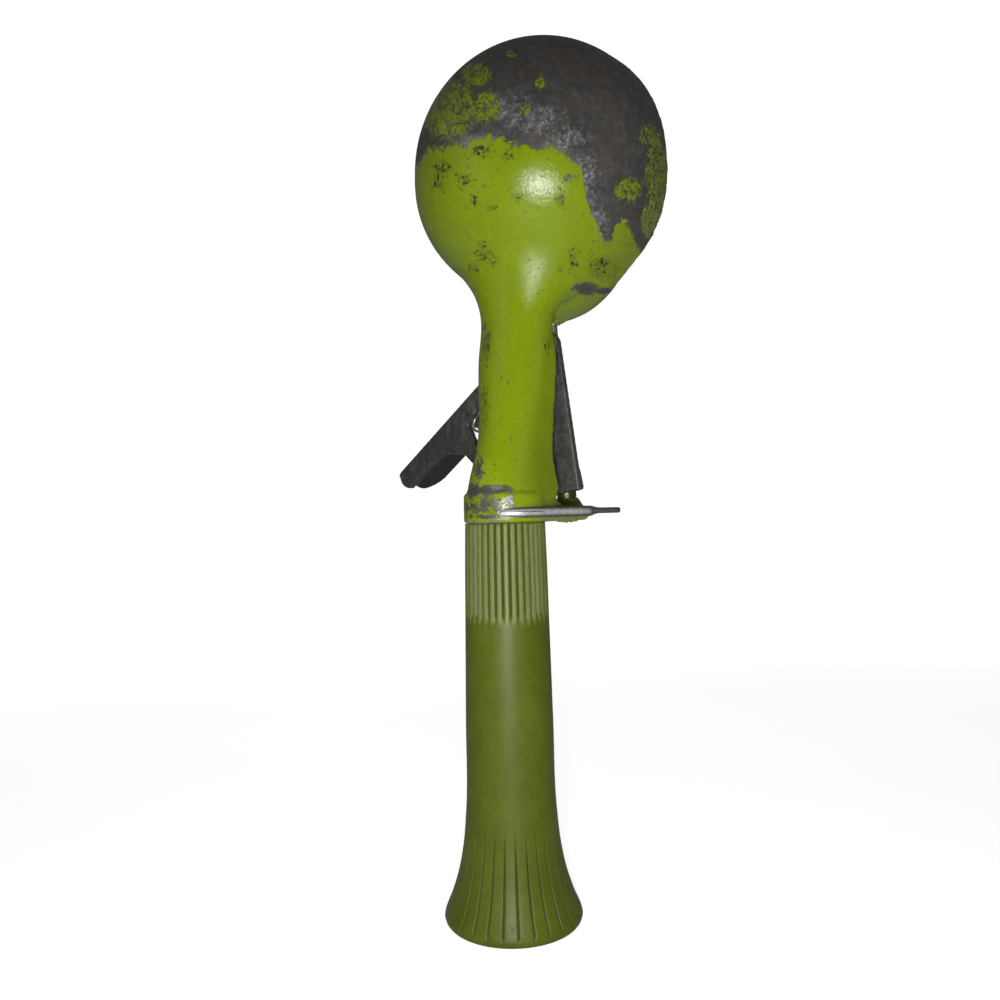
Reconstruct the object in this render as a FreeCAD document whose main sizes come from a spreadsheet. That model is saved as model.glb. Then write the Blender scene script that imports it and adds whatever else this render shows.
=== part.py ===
import FreeCAD, Part
import math
import os

# Lever ice cream scoop, in millimetres. +Z runs up from the flat end of the handle.
# The bowl opens toward +Y. The thumb lever lies toward -X.

doc = FreeCAD.newDocument("scoop")
sheet = doc.addObject("Spreadsheet::Sheet", "Sizes")

# Driving dimensions
drivingSizes = {
    "bowl_radius": 31.2,
    "bowl_wall": 2.0,
    "rim_height": 6.5,
    "bowl_forward": 18.9,
    "bowl_above_pivot": 42.0,
    "chin_radius": 21.0,
    "gear_ratio": 9.0,
    "pinion_teeth": 8.0,
    "pivot_above_handle": 43.7,
    "handle_length": 89.8,
    "base_radius": 14.8,
    "rim_radius": 15.7,
    "waist_radius": 10.4,
    "grip_top_radius": 9.2,
    "flute_count": 36.0,
    "flare_groove_count": 28.0,
    "tang_radius": 5.0,
    "tang_length": 48.0,
    "collar_radius": 9.4,
    "collar_height": 6.6,
    "flange_radius": 14.6,
    "flange_thickness": 1.4,
    "neck_front": 10.5,
    "neck_wall": 2.0,
    "shaft_radius": 1.1,
    "bush_radius": 1.9,
    "post_radius": 3.8,
    "lever_thickness": 2.1,
    "rivet_radius": 1.5,
    "gear_face": 4.6,
    "wiper_gap": 0.45,
    "wiper_thickness": 0.8,
    "wiper_width": 7.0,
    "spring_wire": 0.7,
    "spring_radius": 2.35,
    "spring_turns": 8.0,
    "running_gap": 0.06,
    "plate_gap": 0.5,
    "hub_radius": 3.3,
    "arm_width": 5.7,
    "pad_length": 21.0,
    "pad_width": 15.0,
    "pad_thickness": 2.4,
    "peg_radius": 1.2,
}

for row, (alias, value) in enumerate(drivingSizes.items(), start=1):
    sheet.set("A%d" % row, alias.replace("_", " "))
    sheet.set("B%d" % row, str(value))
    sheet.setAlias("B%d" % row, alias)
doc.recompute()


def read(alias):
    return float(sheet.get(alias))


# Frame of the mechanism: the shaft leans so that its axis meets the lever's axis
leanAngle = math.degrees(math.asin(1.0 / read("gear_ratio")))
leanSine = math.sin(math.radians(leanAngle))
leanCosine = math.cos(math.radians(leanAngle))
leanTangent = math.tan(math.radians(leanAngle))
pivotHeight = read("handle_length") + read("pivot_above_handle")
bowlHeight = pivotHeight + read("bowl_above_pivot")
bowlCentre = FreeCAD.Vector(0, read("bowl_forward"), bowlHeight)
shaftUp = FreeCAD.Vector(0, -leanSine, leanCosine)
bowlOut = FreeCAD.Vector(0, leanCosine, leanSine)
apexDrop = read("bowl_above_pivot") / leanCosine
apex = bowlCentre - shaftUp * apexDrop

# The lever's plate lies behind the apex, and the gears reach down to just above the flange
leverBack = apex.y - read("lever_thickness") - 1.8
leverPivot = FreeCAD.Vector(0, leverBack, pivotHeight)
flangeHeight = read("handle_length") + 0.26 * read("collar_height")
farReach = pivotHeight - flangeHeight - 6.0
nearShare = 1 - read("gear_face") / farReach
sectorRadius = farReach + 1.0
windowRadius = farReach * nearShare - 0.8
chinDrop = apexDrop - 6.1 / leanCosine - read("chin_radius")
leanTurn = FreeCAD.Rotation(FreeCAD.Vector(1, 0, 0), leanAngle)
bowlTurn = FreeCAD.Rotation(FreeCAD.Vector(1, 0, 0), leanAngle - 90)
towardFront = FreeCAD.Rotation(FreeCAD.Vector(1, 0, 0), -90)


def alongShaft(distance):
    # placement whose Z runs up the shaft, at a distance below the bowl's centre
    return FreeCAD.Placement(bowlCentre - shaftUp * distance, leanTurn)


def shaftForward(height):
    # how far forward the shaft's axis is at a height
    return bowlCentre.y + (bowlCentre.z - height) * leanTangent


# Line of the return spring, from its seat on the lever to the fixed peg
def springEnds():
    level = leverBack + read("lever_thickness") / 2.0
    seat = FreeCAD.Vector(-0.642 * farReach, level, pivotHeight - 0.467 * farReach)
    peg = FreeCAD.Vector(-0.167 * farReach, level, pivotHeight - 0.744 * farReach)
    direction = peg.sub(seat).normalize()
    return {"seat": seat, "peg": peg, "direction": direction, "length": (peg - seat).Length}


springLine = springEnds()


# Helpers that make objects bound to the sheet
def cylinder(name, radius, height, placement):
    made = doc.addObject("Part::Cylinder", name)
    bind(made, "Radius", radius)
    bind(made, "Height", height)
    made.Placement = placement
    return made


def cone(name, lower, upper, height, placement):
    made = doc.addObject("Part::Cone", name)
    bind(made, "Radius1", lower)
    bind(made, "Radius2", upper)
    bind(made, "Height", height)
    made.Placement = placement
    return made


def sphere(name, radius, placement, halfOnly=False):
    made = doc.addObject("Part::Sphere", name)
    bind(made, "Radius", radius)
    if halfOnly:
        made.Angle2 = 0
    made.Placement = placement
    return made


def bind(made, prop, rule):
    # a rule is a number or an expression of the sheet's names
    if isinstance(rule, str):
        made.setExpression(prop, rule)
    else:
        setattr(made, prop, rule)


def fuse(name, shapes):
    made = doc.addObject("Part::MultiFuse", name)
    made.Shapes = shapes
    return made


def cut(name, base, tool):
    made = doc.addObject("Part::Cut", name)
    made.Base = base
    made.Tool = tool
    return made


def common(name, shapes):
    made = doc.addObject("Part::MultiCommon", name)
    made.Shapes = shapes
    return made


def feature(name, shape):
    made = doc.addObject("Part::Feature", name)
    made.Shape = shape
    return made


def flatSketch(body, name, role, offset=FreeCAD.Placement()):
    made = body.newObject("Sketcher::SketchObject", name)
    plane = [item for item in body.Origin.OriginFeatures if item.Role == role][0]
    made.AttachmentSupport = [(plane, "")]
    made.MapMode = "FlatFace"
    made.AttachmentOffset = offset
    return made


def addLoop(sketch, corners):
    # straight edges through the corners and back to the first
    points = [FreeCAD.Vector(x, y, 0) for x, y in corners]
    for start, end in zip(points, points[1:] + points[:1]):
        sketch.addGeometry(Part.LineSegment(start, end), False)


def up(height):
    return FreeCAD.Placement(FreeCAD.Vector(0, 0, height), FreeCAD.Rotation())


def finish(made, label):
    made.Label = label
    pieces.append(made)
    return made


pieces = []


# Handle grip: a turned and fluted moulding on the tang
def makeHandleGrip():
    body = doc.addObject("PartDesign::Body", "GripBody")
    profile = flatSketch(body, "GripProfile", "XZ_Plane")
    top = read("handle_length")
    rimRadius = read("rim_radius")
    baseRadius = read("base_radius")
    waist = read("waist_radius")
    topRadius = read("grip_top_radius")
    waistHeight = 0.27 * top
    barrelHeight = 0.74 * top
    boreRadius = read("tang_radius") + read("running_gap")
    boreFoot = top - read("tang_length") - 1.0

    def place(radius, height):
        return FreeCAD.Vector(radius, height, 0)

    flareFoot = place(rimRadius - 0.15, 1.9)
    flareMiddle = place(waist + 0.38 * (rimRadius - waist), 0.12 * top)
    flareTop = place(waist, waistHeight)
    edgeFoot = place(baseRadius, 0)
    edgeMiddle = place(rimRadius - 0.15, 0.55)
    edgeTop = place(rimRadius, 1.3)
    shoulder = place(waist - 0.75, barrelHeight)
    brow = place(waist - 0.98, 0.9 * top)
    crown = place(topRadius, top)
    boreTop = place(boreRadius, top)
    boreEnd = place(boreRadius, boreFoot)
    profile.addGeometry(Part.LineSegment(place(0, 0), edgeFoot), False)
    profile.addGeometry(Part.Arc(edgeFoot, edgeMiddle, edgeTop), False)
    profile.addGeometry(Part.LineSegment(edgeTop, flareFoot), False)
    profile.addGeometry(Part.Arc(flareFoot, flareMiddle, flareTop), False)
    profile.addGeometry(Part.LineSegment(flareTop, shoulder), False)
    profile.addGeometry(Part.Arc(shoulder, brow, crown), False)
    profile.addGeometry(Part.LineSegment(crown, boreTop), False)
    profile.addGeometry(Part.LineSegment(boreTop, boreEnd), False)
    profile.addGeometry(Part.LineSegment(boreEnd, place(0, boreFoot)), False)
    profile.addGeometry(Part.LineSegment(place(0, boreFoot), place(0, 0)), False)
    turned = body.newObject("PartDesign::Revolution", "GripTurned")
    turned.Profile = profile
    turned.ReferenceAxis = (profile, ["V_Axis"])
    turned.Angle = 360
    doc.recompute()

    fluteCut = flatSketch(body, "FluteSection", "XY_Plane", up(top))
    addLoop(fluteCut, [(topRadius - 0.3, 0), (waist + 0.2, -0.55), (waist + 0.2, 0.55)])
    flute = body.newObject("PartDesign::Pocket", "Flute")
    flute.Profile = fluteCut
    flute.Length = top - barrelHeight
    flutes = body.newObject("PartDesign::PolarPattern", "Flutes")
    flutes.Originals = [flute]
    flutes.Axis = (fluteCut, ["N_Axis"])
    flutes.Angle = 360
    flutes.setExpression("Occurrences", "Sizes.flute_count")
    body.Tip = flutes
    doc.recompute()
    return finish(body, "handle_grip"), flareFoot, flareMiddle, flareTop


# Bowl: half a ball with a straight rim, open toward the front
def makeBowlShapes():
    seat = FreeCAD.Placement(bowlCentre, bowlTurn)
    outerBall = sphere("BowlOuterBall", "Sizes.bowl_radius", seat, halfOnly=True)
    outerRim = cylinder("BowlOuterRim", "Sizes.bowl_radius", "Sizes.rim_height", seat)
    innerBall = sphere("BowlInnerBall", "Sizes.bowl_radius - Sizes.bowl_wall", seat, halfOnly=True)
    innerRim = cylinder("BowlInnerRim", "Sizes.bowl_radius - Sizes.bowl_wall", "Sizes.rim_height + 20", seat)
    outer = fuse("BowlOuter", [outerBall, outerRim])
    inner = fuse("BowlInner", [innerBall, innerRim])
    return outer, inner


def neckWire(height, halfWidth, back, front):
    # a deep U: half an ellipse behind, flat sides and a flat front
    middle = back + 0.6 * (front - back)
    depth = middle - back
    curve = []
    for step in range(11):
        turn = math.pi * (1 + step / 10.0)
        curve.append(FreeCAD.Vector(halfWidth * math.cos(turn), middle + depth * math.sin(turn), height))
    spline = Part.BSplineCurve()
    spline.interpolate(curve)
    leftFront = FreeCAD.Vector(-halfWidth, front, height)
    rightFront = FreeCAD.Vector(halfWidth, front, height)
    edges = [spline.toShape()]
    edges.append(Part.makeLine(curve[-1], rightFront))
    edges.append(Part.makeLine(rightFront, leftFront))
    edges.append(Part.makeLine(leftFront, curve[0]))
    return Part.Wire(edges)


# Neck: a tapering channel that flares into the bowl
def makeNeckShapes():
    front = read("neck_front")
    wall = read("neck_wall")
    foot = read("handle_length") + 0.9 * read("collar_height")
    span = bowlHeight - 31 / 31.2 * read("bowl_radius") - foot
    stations = [
        (foot, 9.0, -9.2, front - 1.5),
        (foot + 0.072 * span, 8.3, -9.1, front),
        (foot + 0.164 * span, 7.4, -7.9, front),
        (foot + 0.267 * span, 7.3, -5.8, front),
        (foot + 0.431 * span, 7.9, -3.2, front),
        (foot + 0.595 * span, 8.6, -1.2, front),
        (foot + 0.759 * span, 8.6, 0.0, front),
        (foot + 0.882 * span, 9.3, 0.4, front + 0.8),
        (foot + 0.964 * span, 11.4, 0.4, front + 4),
        (foot + 1.025 * span, 14.3, 0.2, front + 12.5),
        (foot + 1.107 * span, 17.6, -0.8, front + 17),
        (foot + 1.21 * span, 21.0, -2.8, front + 17.5),
        (foot + 1.31 * span, 23.0, -5.2, front + 17),
    ]
    outerWires = [neckWire(*station) for station in stations]
    outer = feature("NeckOuter", Part.makeLoft(outerWires, True, False))
    innerWires = []
    for height, halfWidth, back, face in stations[1:8]:
        innerWires.append(neckWire(height, halfWidth - wall, back + wall + 0.4, face + 9))
    inner = feature("NeckChannel", Part.makeLoft(innerWires, True, False))
    return outer, inner


def eggFace(nearCentre, nearRadius, farCentre, farRadius, height):
    # outline of two circles on the Y axis and the straight lines that touch both
    spread = math.acos((nearRadius - farRadius) / (farCentre - nearCentre))
    across = math.sin(spread)
    forward = math.cos(spread)
    nearRight = FreeCAD.Vector(nearRadius * across, nearCentre + nearRadius * forward, height)
    nearLeft = FreeCAD.Vector(-nearRight.x, nearRight.y, height)
    farRight = FreeCAD.Vector(farRadius * across, farCentre + farRadius * forward, height)
    farLeft = FreeCAD.Vector(-farRight.x, farRight.y, height)
    back = FreeCAD.Vector(0, nearCentre - nearRadius, height)
    tip = FreeCAD.Vector(0, farCentre + farRadius, height)
    edges = [Part.Arc(nearLeft, back, nearRight).toShape()]
    edges.append(Part.makeLine(nearRight, farRight))
    edges.append(Part.Arc(farRight, tip, farLeft).toShape())
    edges.append(Part.makeLine(farLeft, nearLeft))
    return Part.Face(Part.Wire(edges))


def prism(name, face, height):
    return feature(name, face.extrude(FreeCAD.Vector(0, 0, height)))


# Casting: bowl, neck, collar, flange, bosses and tang in one piece
def makeBowlAndShank(bowlOuter, bowlInner):
    neck, channel = makeNeckShapes()
    top = read("handle_length")
    collarRadius = read("collar_radius")
    plateHeight = flangeHeight
    forward = shaftForward(flangeHeight) - 2.8
    radius = read("flange_radius")
    thickness = read("flange_thickness")
    nearRadius = collarRadius + 1.0
    tongueFace = eggFace(1.2, nearRadius, forward, radius, plateHeight)
    tongue = prism("FlangeTongue", tongueFace, thickness)
    padFace = eggFace(1.2, nearRadius, 0.56 * forward, 0.91 * radius, plateHeight - 0.6)
    pad = prism("FlangePad", padFace, thickness + 1.1)
    gussetFace = eggFace(0, 0.95 * collarRadius, 0.76 * forward, 0.62 * radius, top + 0.1)
    gusset = prism("FlangeGusset", gussetFace, 1.2)
    collar = cylinder("Collar", "Sizes.collar_radius", "Sizes.collar_height", up(top))
    tang = cylinder("Tang", "Sizes.tang_radius", "Sizes.tang_length + 2", up(top - read("tang_length")))
    postSeat = FreeCAD.Placement(FreeCAD.Vector(0, 1.5, pivotHeight), towardFront)
    post = cylinder("PivotPost", "Sizes.post_radius", leverBack - read("plate_gap") - 1.5, postSeat)
    footDistance = (bowlCentre.z - plateHeight) / leanCosine
    lowBoss = cone("LowBoss", 3.1, 2.6, 3.6, alongShaft(footDistance - 0.6))
    footBoss = cone("FootBoss", 3.0, 3.8, 2.6, alongShaft(footDistance + 2.0))
    footRecess = cylinder("FootRecess", 2.1, 3.0, alongShaft(footDistance + 3.9))
    chin = sphere("Chin", "Sizes.chin_radius", alongShaft(chinDrop))
    highBoss = cylinder("HighBoss", 2.9, 4.0, alongShaft(chinDrop + read("chin_radius") + 0.4))
    peg = springLine["peg"]
    lugSeat = FreeCAD.Placement(FreeCAD.Vector(peg.x, 3.0, peg.z), towardFront)
    lug = cylinder("SpringLug", 2.3, read("neck_front") - 2.2, lugSeat)
    rimSeat = FreeCAD.Placement(bowlCentre + bowlOut * read("rim_height"), bowlTurn)
    beyondRim = cylinder("BeyondRim", "Sizes.bowl_radius + 8", 30, rimSeat)
    trimmers = fuse("ShankTrimmers", [channel, beyondRim])
    shell = cut("ShankShell", fuse("ShankSolid", [bowlOuter, neck, chin, collar, tongue, pad, gusset]), trimmers)
    whole = fuse("CastingSolid", [shell, tang, post, lowBoss, footBoss, highBoss, lug])
    hollow = cut("CastingHollow", whole, bowlInner)
    bore = cylinder("ShaftBore", "Sizes.bush_radius", footDistance + 5, alongShaft(footDistance + 5))
    rivetHole = cylinder("RivetHole", "Sizes.rivet_radius", 8, FreeCAD.Placement(
        leverPivot - FreeCAD.Vector(0, 8, 0), towardFront))
    pegHole = cylinder("PegHole", "Sizes.peg_radius", 8, FreeCAD.Placement(
        FreeCAD.Vector(peg.x, read("neck_front") - 5.0, peg.z), towardFront))
    topHole = cylinder("TopPivotHole", 1.24, 10, alongShaft(-read("bowl_radius") + read("bowl_wall") + 3))
    holes = fuse("CastingHoles", [bore, footRecess, rivetHole, pegHole, topHole])
    return finish(cut("Casting", hollow, holes), "bowl_and_shank")


def leverPoint(angle, radius):
    turn = math.radians(angle)
    return FreeCAD.Vector(radius * math.cos(turn), 0, pivotHeight + radius * math.sin(turn))


def toothSection(width, tipWidth, foot, tip, centre, across, away):
    # a tooth's outline: across is its width's direction, away points to its tip
    corners = [(-width / 2.0, foot), (width / 2.0, foot), (tipWidth / 2.0, tip), (-tipWidth / 2.0, tip)]
    points = [centre + across * x + away * y for x, y in corners]
    return Part.makePolygon(points + points[:1])


def shrink(wire, share):
    # the same outline drawn in toward the apex
    matrix = FreeCAD.Matrix()
    matrix.move(-apex)
    matrix.scale(share, share, share)
    matrix.move(apex)
    return wire.transformGeometry(matrix)


toothPitchAngle = 360.0 / (read("gear_ratio") * read("pinion_teeth"))
toothPitch = 2 * math.pi * farReach / (read("gear_ratio") * read("pinion_teeth"))


# Thumb lever: a windowed plate with a toothed sector and a thumb pad
def makeThumbLever():
    back = leverBack
    thickness = read("lever_thickness")
    body = doc.addObject("PartDesign::Body", "LeverBody")
    offset = FreeCAD.Placement(FreeCAD.Vector(0, 0, -back), FreeCAD.Rotation())
    outline = flatSketch(body, "LeverOutline", "XZ_Plane", offset)

    def flat(point):
        return FreeCAD.Vector(point.x, point.z, 0)

    def at(share, rise):
        # a place from the pivot, in shares of the gears' reach
        return FreeCAD.Vector(share * farReach, pivotHeight + rise * farReach, 0)

    armSlope = math.radians(38)
    along = FreeCAD.Vector(math.cos(armSlope), math.sin(armSlope), 0)
    below = FreeCAD.Vector(math.sin(armSlope), -math.cos(armSlope), 0)
    width = read("arm_width")
    tip = at(-1.378, -0.820)
    tipLow = tip + below * width
    tipNose = tip + below * (width / 2) - along * 1.4
    armTop = tip + along * (1.472 * farReach)
    hubTop = flat(leverPoint(90, read("hub_radius")))
    hubArc = flat(leverPoint(45, read("hub_radius")))
    hubRight = flat(leverPoint(0, read("hub_radius")))
    webCorner = flat(leverPoint(283, sectorRadius))
    webMiddle = flat(leverPoint(254, sectorRadius))
    webEnd = flat(leverPoint(224, sectorRadius))
    armLow = tipLow + along * (0.40 * farReach)
    edges = [
        Part.Arc(tipLow, tipNose, tip),
        Part.LineSegment(tip, armTop),
        Part.LineSegment(armTop, hubTop),
        Part.Arc(hubTop, hubArc, hubRight),
        Part.LineSegment(hubRight, webCorner),
        Part.Arc(webCorner, webMiddle, webEnd),
        Part.LineSegment(webEnd, armLow),
        Part.LineSegment(armLow, tipLow),
    ]
    for edge in edges:
        outline.addGeometry(edge, False)
    plate = body.newObject("PartDesign::Pad", "LeverPlate")
    plate.Profile = outline
    plate.setExpression("Length", "Sizes.lever_thickness")
    plate.Reversed = True
    doc.recompute()
    window = flatSketch(body, "LeverWindow", "XZ_Plane", offset)
    rightLow = flat(leverPoint(264, windowRadius))
    middleLow = flat(leverPoint(245, windowRadius))
    leftLow = flat(leverPoint(226.4, windowRadius + 2.2))
    leftWall = at(-0.700, -0.492)
    leftHigh = at(-0.567, -0.328)
    rightHigh = at(-0.181, -0.089)
    rightWall = at(-0.106, -0.167)
    edges = [
        Part.Arc(rightLow, middleLow, leftLow),
        Part.LineSegment(leftLow, leftWall),
        Part.LineSegment(leftWall, leftHigh),
        Part.LineSegment(leftHigh, rightHigh),
        Part.LineSegment(rightHigh, rightWall),
        Part.LineSegment(rightWall, rightLow),
    ]
    for edge in edges:
        window.addGeometry(edge, False)
    opening = body.newObject("PartDesign::Pocket", "LeverWindowCut")
    opening.Profile = window
    opening.Type = 1
    opening.Midplane = True
    body.Tip = opening
    doc.recompute()

    padSeat = FreeCAD.Placement(
        FreeCAD.Vector(tip.x, back, tip.y),
        FreeCAD.Rotation(FreeCAD.Vector(0, 1, 0), -38),
    )
    pad = doc.addObject("Part::Box", "ThumbPad")
    padThickness = read("pad_thickness")
    pad.setExpression("Length", "Sizes.pad_length")
    pad.setExpression("Width", "Sizes.pad_width")
    pad.setExpression("Height", "Sizes.pad_thickness")
    pad.Placement = padSeat.multiply(FreeCAD.Placement(FreeCAD.Vector(-0.8, 0, -padThickness - 0.2), FreeCAD.Rotation()))
    doc.recompute()
    rounded = doc.addObject("Part::Fillet", "ThumbPadRound")
    rounded.Base = pad
    corners = []
    for index, edge in enumerate(pad.Shape.Edges, start=1):
        middle = pad.Placement.inverse().multVec(edge.CenterOfMass)
        if abs(middle.z - padThickness / 2) < 0.1 and middle.y > read("pad_width") / 2:
            corners.append((index, 0.4 * read("pad_width"), 0.4 * read("pad_width")))
    rounded.Edges = corners

    bandHeight = apex.y - 1.05 - back
    band = doc.addObject("Part::Cylinder", "SectorBand")
    band.Radius = sectorRadius
    band.Height = bandHeight
    band.Angle = 42
    band.Placement = FreeCAD.Placement(leverPivot, towardFront.multiply(
        FreeCAD.Rotation(FreeCAD.Vector(0, 0, 1), 77)))
    core = cylinder("SectorBandCore", windowRadius, 20, FreeCAD.Placement(
        leverPivot - FreeCAD.Vector(0, 5, 0), towardFront))
    rim = cut("SectorRim", band, core)

    toothPieces = []
    across = FreeCAD.Vector(1, 0, 0)
    away = FreeCAD.Vector(0, 1, 0)
    centre = FreeCAD.Vector(0, apex.y, apex.z - farReach)
    root = -1.1
    crest = 0.62
    section = toothSection(0.56 * toothPitch, 0.22 * toothPitch, root, crest, centre, across, away)
    tooth = Part.makeLoft([section, shrink(section, nearShare)], True, True)
    for step in range(-1, 6):
        copy = tooth.copy()
        copy.rotate(apex, FreeCAD.Vector(0, 1, 0), (step + 0.5) * toothPitchAngle)
        toothPieces.append(copy)
    teeth = feature("SectorTeeth", Part.makeCompound(toothPieces))

    seatStart = springLine["seat"]
    direction = springLine["direction"]
    stud = cylinder("SpringStud", "Sizes.spring_radius - Sizes.spring_wire / 2 - 0.35", 5.4, FreeCAD.Placement(
        seatStart - direction * 2.4, FreeCAD.Rotation(FreeCAD.Vector(0, 0, 1), direction)))
    whole = fuse("LeverSolid", [body, rounded, rim, teeth, stud])
    hole = cylinder("LeverHole", "Sizes.rivet_radius + Sizes.running_gap", 20, FreeCAD.Placement(
        leverPivot - FreeCAD.Vector(0, 5, 0), towardFront))
    sink = cone("LeverSink", "Sizes.rivet_radius + Sizes.running_gap", 1.8 * read("rivet_radius"), 1.2, FreeCAD.Placement(
        leverPivot + FreeCAD.Vector(0, thickness - 1.2, 0), towardFront))
    return finish(cut("Lever", whole, fuse("LeverHoles", [hole, sink])), "thumb_lever")


# Return spring: one unbroken tube, each half turn an arc
def makeReturnSpring():
    start = springLine["seat"] + springLine["direction"] * 0.45
    length = springLine["length"] - 0.45 - 1.5 - read("spring_wire") / 2
    turns = int(read("spring_turns"))
    radius = read("spring_radius")
    wire = read("spring_wire")
    rise = length / turns
    turning = FreeCAD.Rotation(FreeCAD.Vector(0, 0, 1), springLine["direction"])
    place = FreeCAD.Placement(start, turning)

    def onCoil(turn):
        angle = 2 * math.pi * turn
        return FreeCAD.Vector(radius * math.cos(angle), radius * math.sin(angle), rise * turn + 0.35)

    arcs = []
    samples = []
    for step in range(turns * 4):
        first = onCoil(step / 4.0)
        middle = onCoil((step + 0.5) / 4.0)
        last = onCoil((step + 1) / 4.0)
        arcs.append(Part.Arc(first, middle, last).toShape())
        samples.append(first)
        samples.append(middle)
    path = Part.Wire(arcs)
    tangent = arcs[0].tangentAt(arcs[0].FirstParameter)
    ring = Part.Wire([Part.makeCircle(wire / 2, onCoil(0), tangent)])
    tube = path.makePipeShell([ring], True, False)
    leastGap = min(
        (one - other).Length - wire
        for index, one in enumerate(samples)
        for other in samples[index + 5:]
    )
    print("return spring: least gap to itself %.2f mm" % leastGap)
    made = feature("SpringTube", tube)
    made.Placement = place
    return finish(made, "return_spring")


def makePinion():
    # teeth drawn at the large end and shrunk toward the apex
    pitchRadius = farReach * leanSine
    largeDistance = apexDrop + farReach * leanCosine
    smallDistance = apexDrop + farReach * nearShare * leanCosine
    centre = bowlCentre - shaftUp * largeDistance
    rootRadius = pitchRadius - 0.98
    tipRadius = pitchRadius + 0.62
    blank = cone("PinionBlank", rootRadius, rootRadius * nearShare, largeDistance - smallDistance,
                 alongShaft(largeDistance))
    collar = cylinder("PinionCollar", 2.1, 2.4, alongShaft(smallDistance + 0.1))
    toothPieces = []
    sideways = FreeCAD.Vector(1, 0, 0)
    outward = shaftUp.cross(sideways) * -1
    section = toothSection(0.40 * toothPitch, 0.2 * toothPitch, rootRadius - 0.4, tipRadius, centre, sideways, outward)
    tooth = Part.makeLoft([section, shrink(section, nearShare)], True, True)
    count = int(read("pinion_teeth"))
    for step in range(count):
        copy = tooth.copy()
        copy.rotate(apex, shaftUp, 360.0 * step / count)
        toothPieces.append(copy)
    teeth = feature("PinionTeeth", Part.makeCompound(toothPieces))
    solid = fuse("PinionSolid", [blank, collar, teeth])
    bore = cylinder("PinionBore", "Sizes.shaft_radius", 20, alongShaft(largeDistance + 5))
    pinHole = cylinder("PinionPinHole", 0.45, 8, crossPin(smallDistance - 1.2))
    return finish(cut("Pinion", solid, fuse("PinionHoles", [bore, pinHole])), "bevel_pinion")


def crossPin(distance):
    # placement of a pin that crosses the shaft along X
    start = bowlCentre - shaftUp * distance - FreeCAD.Vector(4, 0, 0)
    return FreeCAD.Placement(start, FreeCAD.Rotation(FreeCAD.Vector(0, 1, 0), 90))


# Pieces on the shaft
def makeShaftPieces():
    smallDistance = apexDrop + farReach * nearShare * leanCosine
    largeDistance = apexDrop + farReach * leanCosine
    bowlRadius = read("bowl_radius")
    innerRadius = bowlRadius - read("bowl_wall")
    footDistance = (bowlCentre.z - flangeHeight) / leanCosine
    shaftFoot = footDistance + 2.2
    shaftHead = innerRadius - 4.4
    rod = cylinder("ShaftRod", "Sizes.shaft_radius", shaftFoot - shaftHead, alongShaft(shaftFoot))
    rodHole = cylinder("ShaftPinHole", 0.45, 8, crossPin(smallDistance - 1.2))
    finish(cut("Shaft", rod, rodHole), "wiper_shaft")
    finish(doc.addObject("Part::Cylinder", "PinionPin"), "pinion_pin")
    pieces[-1].Radius = 0.45
    pieces[-1].Height = 4.2
    pinStart = bowlCentre - shaftUp * (smallDistance - 1.2) - FreeCAD.Vector(2.1, 0, 0)
    pieces[-1].Placement = FreeCAD.Placement(pinStart, FreeCAD.Rotation(FreeCAD.Vector(0, 1, 0), 90))
    bossTop = footDistance - 4.25
    makeBush("shaft_low_bush", footDistance + 0.5, bossTop, "Sizes.bush_radius")
    makeBush("pinion_thrust_washer", bossTop, largeDistance, "2.5")
    chinFoot = chinDrop + read("chin_radius")
    makeBush("shaft_high_bush", chinFoot + 0.6, innerRadius - 0.1, "Sizes.bush_radius")
    ringTop = footDistance + 0.95
    nut = cylinder("ShaftNutBlank", 1.9, 1.0, alongShaft(ringTop + 1.0))
    nutHole = cylinder("ShaftNutHole", "Sizes.shaft_radius", 6, alongShaft(ringTop + 3))
    finish(cut("ShaftNut", nut, nutHole), "shaft_end_ring")
    hub = cylinder("HubBlank", 2.9, 2.7, alongShaft(innerRadius - 1.65))
    hubHole = cylinder("HubHole", "Sizes.shaft_radius", 12, alongShaft(innerRadius + 2))
    finish(cut("WiperHub", hub, hubHole), "wiper_hub")


def makeBush(label, low, high, radius):
    outer = cylinder(label + "Blank", radius, low - high, alongShaft(low))
    hole = cylinder(label + "Bore", "Sizes.shaft_radius + Sizes.running_gap", low - high + 2, alongShaft(low + 1))
    return finish(cut(label + "Cut", outer, hole), label)


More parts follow.
